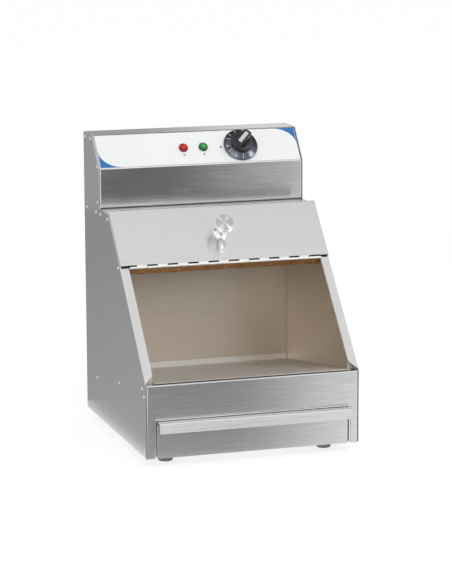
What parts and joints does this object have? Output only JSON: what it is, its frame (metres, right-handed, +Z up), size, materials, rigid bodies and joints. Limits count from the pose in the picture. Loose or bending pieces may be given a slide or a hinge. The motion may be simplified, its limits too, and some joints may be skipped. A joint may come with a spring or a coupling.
{
  "type": "chip warmer",
  "caption": "Counter-top chip warmer: steel cabinet with a sloping open front, hinged filling hatch, perforated tray, fat drawer and a heated head with a dial and pilot lamps.",
  "frame": {"origin": "on the surface that the object stands on, under the middle of its bounding box", "axes": "+Z up, the open front faces -Y, +X to the right of someone facing the front"},
  "size_m": [0.3328, 0.3824, 0.4576],
  "materials": {
    "stainless": "fine brushed stainless sheet",
    "hinge_steel": "bright rolled stainless",
    "rivet_steel": "satin rivet heads",
    "polished_steel": "polished turned metal",
    "zinc_steel": "bright zinc plate",
    "rubber": "matt dark rubber",
    "hood_steel": "bright folded sheet",
    "sheath": "dark heat-tinted sheath",
    "label": "satin white film with blue corner prints",
    "skirt_metal": "blue-grey skirt with white scale marks",
    "black_plastic": "black moulding",
    "insert": "light pointer insert",
    "thermostat_metal": "plated housing",
    "copper": "copper bulb and capillary",
    "red_lens": "red domed lens",
    "green_lens": "green domed lens",
    "bezel": "dark bezel and body",
    "ceramic": "glazed terminal block"
  },
  "bodies": {
    "cabinet": {"side_panel_left": "stainless", "side_panel_right": "stainless", "front_panel": "stainless", "base_plate": "stainless", "back_panel": "stainless", "head_cover": "stainless", "head_floor": "stainless", "cross_rail": "stainless", "inner_wall_left": "stainless", "inner_wall_right": "stainless", "inner_back": "stainless", "tray_rail_left": "stainless", "tray_rail_right": "stainless", "drawer_runner_left": "stainless", "drawer_runner_right": "stainless", "hinge_leaf": "hinge_steel", "hinge_pin": "hinge_steel", "hinge_rivets": "rivet_steel", "rivets_left": "rivet_steel", "rivets_right": "rivet_steel", "foot_screws": "zinc_steel", "back_screws": "zinc_steel", "thermostat_screws": "zinc_steel", "foot_front_left": "rubber", "foot_front_right": "rubber", "foot_rear_left": "rubber", "foot_rear_right": "rubber", "heater_hood": "hood_steel", "heater_standoffs": "hood_steel", "heater_hangers": "hood_steel", "heater_tube": "sheath", "control_label": "label", "cable_gland": "black_plastic", "gland_nut": "black_plastic", "thermostat_body": "thermostat_metal", "thermostat_bulb": "copper", "red_lamp_lens": "red_lens", "green_lamp_lens": "green_lens", "red_lamp_body": "bezel", "green_lamp_body": "bezel", "terminal_block": "ceramic"},
    "hatch": {"hatch": "stainless", "hatch_knob": "polished_steel", "hatch_knob_screw": "zinc_steel"},
    "drawer": {"drawer_front": "stainless", "drawer_pan": "stainless"},
    "tray": {"perforated_tray": "stainless"},
    "dial": {"dial_skirt": "skirt_metal", "dial_grip": "black_plastic", "dial_insert": "insert", "thermostat_shaft": "zinc_steel"}
  },
  "joints": [
    {"name": "hatch_hinge", "type": "hinge", "parent": "cabinet", "child": "hatch", "pos_m": [0, -0.04336, 0.27373], "axis": [1, 0, 0], "range_deg": [0, 180]},
    {"name": "drawer_slide", "type": "slide", "parent": "cabinet", "child": "drawer", "axis": [0, -1, 0], "range_m": [0, 0.25]},
    {"name": "tray_slide", "type": "slide", "parent": "cabinet", "child": "tray", "axis": [0, -0.9888, 0.1495], "range_m": [0, 0.26]},
    {"name": "dial_turn", "type": "hinge", "parent": "cabinet", "child": "dial", "pos_m": [0.0682, 0.0984, 0.431], "axis": [0, -0.792, 0.6105], "range_deg": [-136, 134]}
  ]
}
